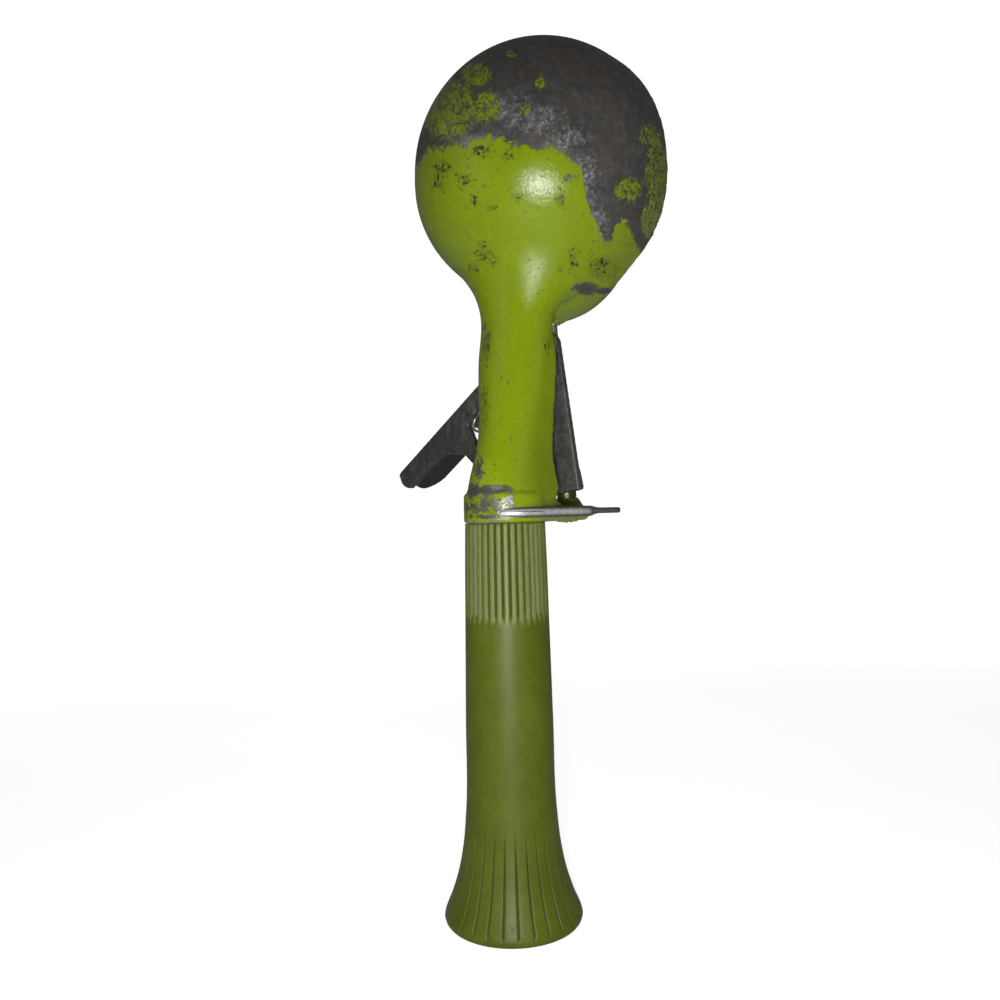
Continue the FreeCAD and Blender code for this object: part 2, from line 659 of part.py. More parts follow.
# Wiper: a thin band that follows the inside of the bowl, parked at the rim
def makeWiper():
    inner = read("bowl_radius") - read("bowl_wall") - read("wiper_gap")
    thickness = read("wiper_thickness")
    seat = FreeCAD.Placement(bowlCentre, leanTurn)
    outerBall = sphere("BladeOuter", "Sizes.bowl_radius - Sizes.bowl_wall - Sizes.wiper_gap", seat)
    innerBall = sphere("BladeInner",
                       "Sizes.bowl_radius - Sizes.bowl_wall - Sizes.wiper_gap - Sizes.wiper_thickness", seat)
    shell = cut("BladeShell", outerBall, innerBall)
    width = read("wiper_width")
    slab = doc.addObject("Part::Box", "BladeSlab")
    slab.Length = inner + 4
    slab.setExpression("Width", "Sizes.wiper_width")
    slab.Height = 2 * inner + 4
    slab.Placement = seat.multiply(FreeCAD.Placement(
        FreeCAD.Vector(-inner - 4 + 1.5, -width / 2, -inner - 2), FreeCAD.Rotation()))
    band = common("BladeBand", [shell, slab])
    lowEye = cylinder("BladeLowEye", 3.6, 0.8, alongShaft(inner - 0.3))
    highEye = cylinder("BladeHighEye", 3.6, 0.8, alongShaft(-inner + 1.1))
    whole = fuse("BladeWhole", [band, lowEye, highEye])
    ball = sphere("BladeTrim", "Sizes.bowl_radius - Sizes.bowl_wall - Sizes.wiper_gap", seat)
    trimmed = common("BladeTrimmed", [whole, ball])
    lowHole = cylinder("BladeLowHole", "Sizes.shaft_radius", 8, alongShaft(inner + 3))
    highHole = cylinder("BladeHighHole", 1.2 + read("running_gap"), 8, alongShaft(-inner + 4))
    rivetHoleOne = cylinder("BladeRivetHole", 0.5, 4, riveted(inner))
    finish(cut("Blade", trimmed, fuse("BladeHoles", [lowHole, highHole, rivetHoleOne])), "wiper_blade")
    pin = cylinder("TopPinStem", 1.2, 4.4, alongShaft(-inner + 1.9))
    head = cylinder("TopPinHead", 2.2, 0.7, alongShaft(-inner + 1.9))
    finish(fuse("TopPin", [pin, head]), "top_pivot_pin")


def riveted(inner):
    return alongShaft(inner + 1).multiply(FreeCAD.Placement(FreeCAD.Vector(-2.4, 0, 0), FreeCAD.Rotation()))


# Rivet, washer and peg of the lever
def makeLeverHardware():
    thickness = read("lever_thickness")
    stem = cylinder("RivetStem", "Sizes.rivet_radius", thickness + 5.5, FreeCAD.Placement(
        leverPivot - FreeCAD.Vector(0, 5.6, 0), towardFront))
    head = cone("RivetHead", "Sizes.rivet_radius", 1.7 * read("rivet_radius"), 1.05, FreeCAD.Placement(
        leverPivot + FreeCAD.Vector(0, thickness - 1.12, 0), towardFront))
    finish(fuse("Rivet", [stem, head]), "lever_pivot_rivet")
    gap = read("plate_gap")
    disc = cylinder("WasherDisc", 3.4, gap, FreeCAD.Placement(leverPivot - FreeCAD.Vector(0, gap, 0), towardFront))
    hole = cylinder("WasherHole", "Sizes.rivet_radius + 0.05", 3, FreeCAD.Placement(
        leverPivot - FreeCAD.Vector(0, 2, 0), towardFront))
    finish(cut("Washer", disc, hole), "lever_pivot_washer")
    start = FreeCAD.Vector(springLine["peg"].x, read("neck_front") - 5.0, springLine["peg"].z)
    pegLength = leverBack + thickness + 2.2 - start.y
    peg = cylinder("PegStem", "Sizes.peg_radius", pegLength, FreeCAD.Placement(start, towardFront))
    finish(peg, "spring_peg")


grip = makeHandleGrip()[0]
bowlOuter, bowlInner = makeBowlShapes()
makeBowlAndShank(bowlOuter, bowlInner)
makeThumbLever()
makeLeverHardware()
makeReturnSpring()
makePinion()
makeShaftPieces()
makeWiper()
doc.recompute()

# Check every piece, then write each one under its label
for item in doc.Objects:
    if "Invalid" in item.State or "Error" in item.State:
        raise RuntimeError("%s did not build" % item.Name)
os.makedirs("parts", exist_ok=True)
for item in pieces:
    shape = item.Shape
    if shape.isNull() or not shape.isValid():
        raise RuntimeError("%s has no valid shape" % item.Label)
    item.Shape.exportStep("parts/%s.step" % item.Label)
    print("%s: %d solid(s), %.2f cubic cm" % (item.Label, len(shape.Solids), shape.Volume / 1000))
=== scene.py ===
import math

import bmesh
import bpy
import numpy as np
from mathutils import Matrix, Vector


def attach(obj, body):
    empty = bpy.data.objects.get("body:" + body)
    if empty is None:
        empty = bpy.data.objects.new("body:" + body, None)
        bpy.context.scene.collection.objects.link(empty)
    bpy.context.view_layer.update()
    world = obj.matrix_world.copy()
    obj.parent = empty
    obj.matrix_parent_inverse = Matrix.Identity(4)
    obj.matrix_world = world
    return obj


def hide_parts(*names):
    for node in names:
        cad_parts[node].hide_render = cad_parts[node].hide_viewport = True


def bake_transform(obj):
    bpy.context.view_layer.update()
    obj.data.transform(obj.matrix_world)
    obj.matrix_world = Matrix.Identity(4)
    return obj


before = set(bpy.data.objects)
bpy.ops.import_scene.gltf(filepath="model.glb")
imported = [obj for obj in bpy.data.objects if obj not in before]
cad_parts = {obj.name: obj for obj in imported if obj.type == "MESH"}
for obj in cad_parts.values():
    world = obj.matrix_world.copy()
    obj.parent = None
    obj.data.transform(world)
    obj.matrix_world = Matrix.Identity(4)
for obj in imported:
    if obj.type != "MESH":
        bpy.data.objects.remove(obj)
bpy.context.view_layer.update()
print("stage: CAD frame loaded")

# Sizes shared with the CAD part, in metres
pivotHeight = 0.1335
leverBack = 0.0197
leverThickness = 0.0021
gearRatio = 9.0
leanAngle = math.asin(1 / gearRatio)

# Bowl: its skins are drawn to an exact ball where they lie within the nearer snap distance
bowl = {
    "centre": np.array([0.0, 0.0189, 0.1755]),
    "out": np.array([0.0, math.cos(leanAngle), math.sin(leanAngle)]),
    "radius": 0.0312,
    "wall": 0.002,
    "rim": 0.0065,
    "rimClear": 0.0009,
    "snap": (0.00022, 0.0004),
    "skin": 0.0006,
    "fuller": 0.0011,
    "fullerSpan": (0.136, 0.178),
}
casting = {
    "voxel": 0.00057,
    "smoothRounds": 5,
    "wearScale": 0.00010,
}
neck = {
    "fairFrom": (0.128, 0.140),
    "fairTo": (0.160, 0.170),
    "fairBehind": (0.008, 0.018),
    "fairRounds": 90,
    "fairStep": 0.6,
    "fuller": 0.0009,
    "fullerSpan": (0.106, 0.152),
    "fullerBehind": (0.002, 0.010),
    "fullerToward": np.array([-0.82, -0.57, 0.0]),
}
# Web between the neck's foot and the flange: ovals at five heights
footWeb = {
    "heights": np.array([0.0921, 0.0933, 0.0947, 0.0962, 0.0985]),
    "middles": np.array([0.0046, 0.0042, 0.0036, 0.0030, 0.0022]),
    "widths": np.array([0.0096, 0.0093, 0.0089, 0.0085, 0.0078]),
    "lengths": np.array([0.0138, 0.0126, 0.0116, 0.0107, 0.0094]),
    "power": 0.8,
}
# Fillet round the shaft's boss
bossFillet = {
    "heights": np.array([0.0921, 0.0931, 0.0943, 0.0956]),
    "radii": np.array([0.0050, 0.0043, 0.0036, 0.0030]),
}
# Flange: circles are (across, forward, radius); bands are insets and shares of the thickness
# over which the bare edge and its painted highlight fade
flange = {
    "near": (0.0013, 0.0009, 0.0097),
    "collar": 0.0094,
    "pulledHeights": (0.0899, 0.0945),
    "middle": 0.0915,
    "tipShort": 0.0028,
    "flatInsets": [0.004, 0.0012],
    "edgeBand": (0.0002, 0.0011),
    "highlightBand": (0.15, 0.75),
}
# the polish share also sets a painted highlight along the middle of each plate's edge
plates = {
    "flangePad": {
        "reach": 0.56, "radius": 0.0136, "bottom": 0.0909, "top": 0.0934,
        "rounding": 0.0009, "polishAndHighlight": 0.9,
    },
    "flangeTongue": {
        "reach": 1.0, "radius": 0.0146, "bottom": 0.0915, "top": 0.0929,
        "rounding": 0.0004, "polishAndHighlight": 0.12,
    },
}
# Grip: its profile is (share of the height, radius)
grip = {
    "length": 0.0898,
    "profile": [
        (0.0, 0.0155), (0.0145, 0.0157), (0.021, 0.01555), (0.06, 0.0141), (0.12, 0.01235),
        (0.18, 0.01125), (0.27, 0.0104), (0.5, 0.01000), (0.74, 0.00965), (0.9, 0.00942),
        (1.0, 0.0092),
    ],
    "foot": [(0.0138, 0.0), (0.0147, 0.0), (0.0152, 0.00012), (0.0155, 0.0005)],
    "topRadii": [0.0089, 0.0052],
    "flutes": 36,
    "fluteStart": (0.0672, 0.0694),
    "fluteWave": 0.0007,
    "fluteDepth": 0.00046,
    "flareGrooves": 28,
    "grooveStart": (0.0016, 0.0021),
    "grooveEnd": (0.0150, 0.0245),
    "grooveDepth": 0.00030,
    "patternChange": (0.026, 0.060),
    "crowding": 0.72,
    "start": 0.0012,
    "around": 504,
    "along": 170,
}
lever = {
    "voxel": 0.00026,
    "smoothRounds": 9,
    "wearScale": 0.00006,
    "wearRounds": 4,
    "padProud": (leverBack + 0.0012, leverBack + 0.0100),
    "padSide": (-0.030, -0.026),
    "padShift": np.array([-0.0006, 0.0, -0.0020]),
    "padShadeProud": (leverBack + 0.0022, leverBack + 0.0045),
    "darkArmSide": (-0.020, -0.034),
    "darkArmShare": 0.35,
    "litSectorSide": (0.002, 0.010),
}
spring = {
    "seat": np.array([-0.0231, leverBack + leverThickness / 2, pivotHeight - 0.0168]),
    "peg": np.array([-0.006, leverBack + leverThickness / 2, pivotHeight - 0.0268]),
    "radius": 0.00235,
    "wire": 0.0007,
    "turns": 8,
    "stepsPerTurn": 36,
    "startGap": 0.0007,
    "endGap": 0.00235,
}

# The photo's camera: where it stood and how it was turned; its size and focal are in pixels
photo = {
    "azimuth": math.radians(35),
    "distance": 0.200,
    "height": 0.0923,
    "focal": 870.0,
    "pitch": math.radians(0.8),
    "yaw": math.radians(-0.3),
    "roll": math.radians(-1.3),
    "size": 1000,
}
filmWidth = 36.0

# Worn places by column and row in the photo's frame: ovals are (column, row, reach across, down)
worn = {
    "paintEdge": [
        (412, 172), (419, 163), (427, 151), (442, 147), (466, 146), (474, 140), (491, 136),
        (501, 138), (508, 145), (524, 145), (533, 150), (550, 147), (562, 151), (572, 161),
        (582, 168), (583, 186), (591, 213), (599, 228), (605, 242), (612, 241), (617, 224),
        (627, 222), (632, 236), (640, 250), (646, 262),
    ],
    "bare": [
        (490, 489, 27, 6), (474, 490, 10, 9), (490, 517, 26, 3), (586, 289, 16, 8),
        (604, 291, 10, 4),
    ],
    "mottled": [
        (482, 506, 30, 14), (469, 505, 9, 17), (509, 502, 9, 15), (486, 335, 6, 20),
        (479, 468, 8, 18), (570, 177, 9, 5),
    ],
    "leftovers": [
        (447, 108, 42, 44), (476, 74, 22, 16), (486, 107, 20, 22), (511, 54, 9, 5),
        (540, 83, 8, 8), (525, 110, 7, 8), (628, 190, 20, 18), (657, 175, 17, 62),
        (650, 136, 15, 18), (651, 222, 15, 26), (590, 45, 3, 3),
    ],
    "clusters": [
        (474, 200, 8, 14), (440, 180, 14, 17), (464, 180, 14, 11), (445, 168, 20, 12),
        (482, 151, 18, 11), (508, 156, 12, 10), (518, 198, 9, 8), (570, 177, 13, 7),
        (562, 200, 9, 18), (573, 258, 14, 22), (560, 269, 7, 6), (484, 252, 16, 20),
        (496, 263, 7, 10), (474, 268, 12, 10), (491, 208, 14, 8), (487, 350, 9, 30),
        (485, 410, 8, 36), (548, 345, 8, 14), (479, 470, 9, 14), (600, 268, 20, 16),
    ],
    "collarClusters": [(484, 505, 30, 16)],
    "paleAndHighlight": [
        (500, 108, 44, 28), (532, 118, 52, 26), (566, 140, 34, 22), (584, 178, 22, 42),
        (596, 222, 18, 30), (470, 140, 40, 12),
    ],
    "collarPaleAndHighlight": [(508, 502, 10, 16)],
    "dull": [(535, 270, 34, 44)],
}
# Out of the photo's sight: rows by which the bowl's inside, its top and the rest are bare
unseen = {
    "inside": 26.0,
    "top": 12.0,
    "topHeight": 0.187,
    "rest": -9.0,
    "insideDepth": 0.0007,
    "frontFrom": -0.0006,
}

# Colours of the shaders
castingTints = {
    "paintDeep": (0.185, 0.265, 0.0016),
    "paintLight": (0.235, 0.325, 0.0030),
    "dirt": (0.105, 0.140, 0.006),
    "oxideDeep": (0.088, 0.083, 0.077),
    "oxideLight": (0.136, 0.129, 0.121),
    "oxideBrown": (0.130, 0.102, 0.084),
    "rubbed": (0.19, 0.195, 0.20),
    "fleck": (0.50, 0.50, 0.49),
    "chip": (0.026, 0.026, 0.016),
    "brightDull": (0.62, 0.62, 0.60),
    "bright": (0.95, 0.95, 0.93),
}
gripTints = {
    "deep": (0.072, 0.099, 0.0045),
    "light": (0.098, 0.128, 0.0080),
    "dust": (0.19, 0.22, 0.06),
    "specks": (0.04, 0.05, 0.008),
    "crest": (0.235, 0.275, 0.105),
    "groove": (0.030, 0.040, 0.005),
}
leverTints = {
    "deep": (0.045, 0.044, 0.041),
    "light": (0.098, 0.096, 0.090),
    "speckle": (0.21, 0.21, 0.20),
    "streak": (0.26, 0.26, 0.245),
    "rubbed": (0.38, 0.38, 0.36),
    "litSector": (0.175, 0.172, 0.150),
    "padShadeAndDarkArm": (0.010, 0.010, 0.008),
}
metals = {
    "steel": {
        "name": "tarnishedSteel", "dark": (0.20, 0.18, 0.14), "light": (0.38, 0.355, 0.29),
        "stain": (0.11, 0.085, 0.05), "rough": 0.40, "metallic": 0.9,
    },
    "spring": {
        "name": "springWire", "dark": (0.42, 0.42, 0.40), "light": (0.66, 0.66, 0.64),
        "stain": (0.22, 0.21, 0.19), "rough": 0.30, "metallic": 0.9,
    },
    "zinc": {
        "name": "darkZinc", "dark": (0.05, 0.048, 0.043), "light": (0.12, 0.115, 0.105),
        "stain": (0.24, 0.24, 0.22), "rough": 0.48, "metallic": 0.75,
    },
    "brass": {
        "name": "dullBrass", "dark": (0.10, 0.09, 0.05), "light": (0.19, 0.17, 0.09),
        "stain": (0.06, 0.05, 0.025), "rough": 0.42, "metallic": 0.9,
    },
    "blade": {
        "name": "bladeSteel", "dark": (0.38, 0.38, 0.36), "light": (0.58, 0.58, 0.56),
        "stain": (0.20, 0.19, 0.17), "rough": 0.32, "metallic": 0.9,
    },
}
floorTints = {"deep": (0.58, 0.58, 0.58), "light": (0.61, 0.61, 0.605)}

# CAD pieces that stay as they are, and their metal
nodeMaterials = {
    "lever_pivot_rivet": "steel",
    "lever_pivot_washer": "steel",
    "spring_peg": "steel",
    "bevel_pinion": "zinc",
    "wiper_shaft": "steel",
    "pinion_pin": "steel",
    "shaft_low_bush": "brass",
    "pinion_thrust_washer": "brass",
    "shaft_high_bush": "spring",
    "shaft_end_ring": "steel",
    "wiper_hub": "zinc",
    "wiper_blade": "blade",
    "top_pivot_pin": "steel",
}

# Studio: lamps stand (right, up, back) of the photo's camera and face the scoop's middle
lampTarget = (0.0, 0.01, 0.11)
lamps = {
    "flash": {
        "place": (-0.004, -0.022, 0.0), "size": (0.020, 0.020), "energy": 0.40,
        "mirrored": True,
    },
    "leftSoft": {
        "place": (-0.40, 0.10, 0.0), "size": (0.25, 0.4), "energy": 0.12, "mirrored": True,
    },
    "rightSoft": {
        "place": (0.45, 0.25, 0.0), "size": (0.3, 0.4), "energy": 0.10, "mirrored": True,
    },
    "backSoft": {
        "place": (-0.10, 0.45, -0.75), "size": (0.5, 0.4), "energy": 1.4, "mirrored": False,
    },
}
worldStrength = 0.09
paper = {"front": -3.0, "straight": 0.8, "bend": 0.9, "wall": 3.0, "width": 5.0}


def flatAxes():
    # right of the camera and away from it, both level
    turn = photo["azimuth"]
    right = np.array([math.cos(turn), math.sin(turn), 0.0])
    away = np.array([-math.sin(turn), math.cos(turn), 0.0])
    return right, away


def turned(one, other, angle):
    # both directions turned by the angle, the first toward the second
    return (one * math.cos(angle) + other * math.sin(angle),
            other * math.cos(angle) - one * math.sin(angle))


def cameraAxes():
    # right, up and forward of the camera, from its azimuth, then yaw, pitch and roll
    right, forward = flatAxes()
    up = np.array([0.0, 0.0, 1.0])
    forward, right = turned(forward, right, photo["yaw"])
    forward, up = turned(forward, up, photo["pitch"])
    right, up = turned(right, up, photo["roll"])
    return right, up, forward


cameraRight, cameraUp, cameraForward = cameraAxes()
cameraPlace = -photo["distance"] * flatAxes()[1] + np.array([0.0, 0.0, photo["height"]])


def toPhoto(points):
    # column: half the size + focal x (share to the right) / depth; row: the same, upward
    offset = points - cameraPlace
    depth = offset @ cameraForward
    column = photo["size"] / 2 + photo["focal"] * (offset @ cameraRight) / depth
    row = photo["size"] / 2 - photo["focal"] * (offset @ cameraUp) / depth
    return column, row


# Shader helpers: arithmetic on sockets, and one method that makes every other node
class Value:
    def __init__(self, shader, socket):
        self.shader = shader
        self.socket = socket

    def combine(self, operation, other):
        settings = {"operation": operation}
        return self.shader.node("ShaderNodeMath", settings, {0: self, 1: other})

    def __add__(self, other):
        return self.combine("ADD", other)

    __radd__ = __add__

    def __sub__(self, other):
        return self.combine("SUBTRACT", other)

    def __rsub__(self, other):
        return (self * -1.0) + other

    def __mul__(self, other):
        return self.combine("MULTIPLY", other)

    __rmul__ = __mul__

    def largest(self, other):
        return self.combine("MAXIMUM", other)

    def ramp(self, low, high):
        # 0 below low, 1 above high, smooth between
        settings = {"interpolation_type": "SMOOTHSTEP", "clamp": True}
        inputs = {0: self, 1: low, 2: high, 3: 0.0, 4: 1.0}
        return self.shader.node("ShaderNodeMapRange", settings, inputs)


class Shader:
    def __init__(self, name):
        self.material = bpy.data.materials.new(name)
        self.material.use_nodes = True
        self.tree = self.material.node_tree
        self.tree.nodes.clear()
        self.output = self.tree.nodes.new("ShaderNodeOutputMaterial")
        self.coordinates = self.node("ShaderNodeTexCoord", {}, {}, "Object")

    def node(self, kind, settings, inputs, output=0):
        made = self.tree.nodes.new(kind)
        for key, setting in settings.items():
            setattr(made, key, setting)
        for key, given in inputs.items():
            if isinstance(given, Value):
                self.tree.links.new(given.socket, made.inputs[key])
            else:
                made.inputs[key].default_value = given
        return Value(self, made.outputs[output])

    def noise(self, scale, detail=4.0, rough=0.55, stretch=(1, 1, 1)):
        # a stretch below 1 draws the pattern out along that axis
        mapped = {"Vector": self.coordinates, "Scale": stretch}
        place = self.node("ShaderNodeMapping", {}, mapped)
        inputs = {"Vector": place, "Scale": scale, "Detail": detail, "Roughness": rough}
        return self.node("ShaderNodeTexNoise", {}, inputs, "Fac")

    def attribute(self, name):
        return self.node("ShaderNodeAttribute", {"attribute_name": name}, {}, "Fac")

    def mix(self, share, one, other):
        settings = {"data_type": "RGBA", "clamp_factor": True}
        one, other = [tint if isinstance(tint, Value) else (*tint, 1.0) for tint in (one, other)]
        return self.node("ShaderNodeMix", settings, {0: share, 6: one, 7: other}, 2)

    def bump(self, height, strength, distance, under=None):
        inputs = {"Height": height, "Strength": strength, "Distance": distance}
        if under is not None:
            inputs["Normal"] = under
        return self.node("ShaderNodeBump", {}, inputs)

    def surface(self, inputs):
        made = self.node("ShaderNodeBsdfPrincipled", {}, inputs)
        self.tree.links.new(made.socket, self.output.inputs["Surface"])
        return self.material


# Materials
def makePaintedCasting():
    shader = Shader("paintedCasting")
    tints = castingTints
    wear = shader.attribute("edgeWear")
    bareField = shader.attribute("bareField")
    leftover = shader.attribute("leftoverPaint")
    cluster = shader.attribute("chipCluster")
    paleAndHighlight = shader.attribute("paleMetalAndHighlight")
    polishAndHighlight = shader.attribute("polishAndHighlight")
    dull = shader.attribute("dullPaint")
    coarse = shader.noise(150.0, 6.0, 0.62)
    medium = shader.noise(520.0, 6.0, 0.65)
    small = shader.noise(1250.0, 5.0, 0.65)
    fine = shader.noise(3000.0, 5.0, 0.7)
    # the same noises about zero
    waves = [noise - 0.5 for noise in (coarse, medium, small, fine)]
    coarseWave, mediumWave, smallWave, fineWave = waves
    # bare metal: above the edge of the paint, on worn edges, in chips, specks and scratches
    ragged = coarseWave * 18.0 + mediumWave * 30.0 + smallWave * 26.0 + fineWave * 14.0
    bareArea = (bareField + ragged).ramp(-0.7, 0.7)
    kept = leftover * 1.2 + mediumWave * 1.5 + smallWave * 2.6 + fineWave * 2.4 - 0.75
    bareArea = bareArea * (1.0 - kept.ramp(0.0, 0.10))
    rubbed = (wear * 2.2 + mediumWave * 1.4 + smallWave * 1.0 - 1.0).ramp(0.0, 0.14)
    nearEdge = bareField.ramp(-70.0, -2.0)
    chips = small + coarseWave * 0.4 + cluster * 0.155 + nearEdge * 0.035 + fineWave * 0.45
    chips = chips.ramp(0.702, 0.716)
    specks = (fine + mediumWave * 0.25 + cluster * 0.11 + nearEdge * 0.02).ramp(0.665, 0.690)
    scratches = shader.noise(1500.0, 2.0, 0.5, (1.0, 1.0, 0.07))
    scratches = (scratches + mediumWave * 0.45).ramp(0.725, 0.750)
    bare = bareArea.largest(rubbed).largest(chips)
    bare = bare.largest(scratches * 0.8).largest(specks * 0.7)
    # paint: two greens, dull and dirty in places
    paintTone = (coarseWave * 1.1 + smallWave * 0.5 + 0.5).ramp(0.0, 1.0)
    paint = shader.mix(paintTone, tints["paintDeep"], tints["paintLight"])
    dirt = (small + mediumWave * 0.5).ramp(0.55, 0.70)
    paint = shader.mix(dirt * 0.45, paint, tints["dirt"])
    # metal: dark oxide, lighter where it is rubbed, brown in places, almost black in chips;
    # in the pale places lighter rubbed metal with painted highlight speckles
    oxide = shader.mix(medium.ramp(0.35, 0.65), tints["oxideDeep"], tints["oxideLight"])
    oxide = shader.mix(coarse.ramp(0.45, 0.62) * 0.45, oxide, tints["oxideBrown"])
    light = (small + mediumWave * 0.8 + fineWave * 0.4 + paleAndHighlight * 0.26).ramp(0.60, 0.80)
    oxide = shader.mix(light * 0.9, oxide, tints["rubbed"])
    fleck = (small + mediumWave * 0.5 + fineWave * 0.7 + paleAndHighlight * 0.20).ramp(0.72, 0.90)
    oxide = shader.mix(fleck * 0.9, oxide, tints["fleck"])
    paleChip = (small + coarseWave).ramp(0.74, 0.80)
    darkChip = chips.largest(specks) * (1.0 - bareArea) * (1.0 - paleChip)
    oxide = shader.mix(darkChip * 0.85, oxide, tints["chip"])
    bright = shader.mix(medium.ramp(0.3, 0.7), tints["brightDull"], tints["bright"])
    # bright metal on rubbed edges, and a painted highlight along the middle of the flange's edge
    metal = shader.mix((rubbed * wear.ramp(0.3, 0.8) * 0.5).largest(polishAndHighlight), oxide, bright)
    paintRough = smallWave * 0.25 + 0.20
    rough = bare * (fineWave * 0.3 + 0.22) + paintRough - polishAndHighlight * bare * 0.16 + dull * 0.16
    grain = shader.bump(fineWave * 0.35 + smallWave * 1.0 + mediumWave * 0.9, 0.5, 0.00014)
    return shader.surface({
        "Base Color": shader.mix(bare, paint, metal),
        "Metallic": bare * 0.55,
        "Roughness": rough,
        "Normal": shader.bump(bare * -1.0, 0.7, 0.00009, grain),
        "Specular IOR Level": 0.42,
    })


def makeGripPlastic():
    shader = Shader("gripPlastic")
    tints = gripTints
    groove = shader.attribute("grooveDepth")
    crest = shader.attribute("fluteCrestWearAndHighlight")
    coarseWave = shader.noise(120.0, 5.0, 0.6) - 0.5
    mediumWave = shader.noise(700.0, 6.0, 0.7) - 0.5
    fine = shader.noise(3800.0, 4.0, 0.7)
    tone = (coarseWave * 1.2 + mediumWave * 0.8 + 0.5).ramp(0.1, 0.9)
    base = shader.mix(tone, tints["deep"], tints["light"])
    dust = (fine + mediumWave * 0.5).ramp(0.60, 0.70)
    base = shader.mix(dust * 0.30, base, tints["dust"])
    specks = shader.noise(2100.0, 3.0, 0.6).ramp(0.66, 0.70)
    base = shader.mix(specks * 0.5, base, tints["specks"])
    # flute crests lighter: rubbed wear and a painted highlight
    base = shader.mix(crest * (mediumWave * 0.8 + 0.50), base, tints["crest"])
    # darker in the grooves: painted shade, with some grime
    base = shader.mix(groove * (mediumWave * 0.5 + 0.75), base, tints["groove"])
    scuffs = shader.noise(900.0, 3.0, 0.6, (1.0, 1.0, 0.07)).ramp(0.60, 0.72)
    return shader.surface({
        "Base Color": base,
        "Metallic": 0.0,
        "Roughness": scuffs * 0.10 + mediumWave * 0.25 + 0.44,
        "Normal": shader.bump((fine - 0.5) * 0.3 + mediumWave * 0.9, 0.30, 0.00012),
        "Specular IOR Level": 0.22,
    })


def makeOxidisedCasting():
    shader = Shader("oxidisedCasting")
    tints = leverTints
    wear = shader.attribute("edgeWear")
    litSector = shader.attribute("litSector")
    padShadeAndDarkArm = shader.attribute("padShadeAndDarkArm")
    coarseWave = shader.noise(160.0, 5.0, 0.6) - 0.5
    medium = shader.noise(800.0, 6.0, 0.7)
    mediumWave = medium - 0.5
    fine = shader.noise(3000.0, 5.0, 0.75)
    fineWave = fine - 0.5
    base = shader.mix(medium.ramp(0.3, 0.7), tints["deep"], tints["light"])
    speckle = (fine + coarseWave * 0.6 + mediumWave * 0.3).ramp(0.56, 0.72)
    base = shader.mix(speckle * 0.7, base, tints["speckle"])
    streaks = shader.noise(700.0, 4.0, 0.6, (1.0, 1.0, 0.22)).ramp(0.46, 0.72)
    base = shader.mix(streaks * 0.30, base, tints["streak"])
    rubbed = wear * 1.6 + mediumWave * 2.2 + coarseWave * 1.6 + fineWave * 0.8 - 1.0
    rubbed = rubbed.ramp(0.0, 0.5)
    base = shader.mix(rubbed * 0.6, base, tints["rubbed"])
    # painted light: the toothed sector drawn lighter, as where it faces the lamps
    base = shader.mix(litSector * (mediumWave * 0.9 + 0.55), base, tints["litSector"])
    # painted shade under the pad, and the arm darker toward the pad
    base = shader.mix(padShadeAndDarkArm * (coarseWave * 0.5 + 0.95), base, tints["padShadeAndDarkArm"])
    return shader.surface({
        "Base Color": base,
        "Metallic": 0.45,
        "Roughness": rubbed * -0.10 + fineWave * 0.3 + 0.47,
        "Normal": shader.bump(fineWave * 0.4 + mediumWave * 1.2, 0.45, 0.00015),
    })


def makeMetal(metal):
    shader = Shader(metal["name"])
    medium = shader.noise(900.0, 5.0, 0.65)
    mediumWave = medium - 0.5
    fine = shader.noise(4200.0, 4.0, 0.7)
    fineWave = fine - 0.5
    base = shader.mix(medium.ramp(0.3, 0.7), metal["dark"], metal["light"])
    stained = (fine + mediumWave * 0.6).ramp(0.56, 0.68)
    return shader.surface({
        "Base Color": shader.mix(stained * 0.7, base, metal["stain"]),
        "Metallic": metal["metallic"],
        "Roughness": fineWave * 0.3 + mediumWave * 0.2 + metal["rough"],
        "Normal": shader.bump(fineWave + mediumWave, 0.25, 0.00008),
    })


def makeFloorMaterial():
    shader = Shader("floorPaper")
    tone = shader.noise(9.0, 4.0, 0.5).ramp(0.3, 0.7)
    # the paper is white where the camera sees it, and dark in reflections
    distance = shader.node(
        "ShaderNodeVectorMath", {"operation": "LENGTH"}, {0: shader.coordinates}, "Value")
    far = distance.ramp(0.25, 0.75)
    seen = shader.node("ShaderNodeLightPath", {}, {}, "Is Camera Ray")
    mirrored = shader.node("ShaderNodeLightPath", {}, {}, "Is Glossy Ray")
    passed = shader.node("ShaderNodeLightPath", {}, {}, "Is Transmission Ray")
    return shader.surface({
        "Base Color": shader.mix(tone, floorTints["deep"], floorTints["light"]),
        "Roughness": 0.8,
        "Normal": shader.bump(shader.noise(700.0, 3.0, 0.6), 0.05, 0.0002),
        "Specular IOR Level": 0.1,
        "Emission Color": seen * (far * 0.25 + 0.78) + mirrored * 0.06 + passed * 0.06,
        "Emission Strength": 1.0,
    })


materials = {
    "casting": makePaintedCasting(),
    "grip": makeGripPlastic(),
    "lever": makeOxidisedCasting(),
}
for slot, metal in metals.items():
    materials[slot] = makeMetal(metal)
print("stage: materials made")


# Mesh helpers
def newObject(name, mesh, material):
    made = bpy.data.objects.new(name, mesh)
    bpy.context.scene.collection.objects.link(made)
    mesh.materials.clear()
    mesh.materials.append(material)
    mesh.shade_smooth()
    return made


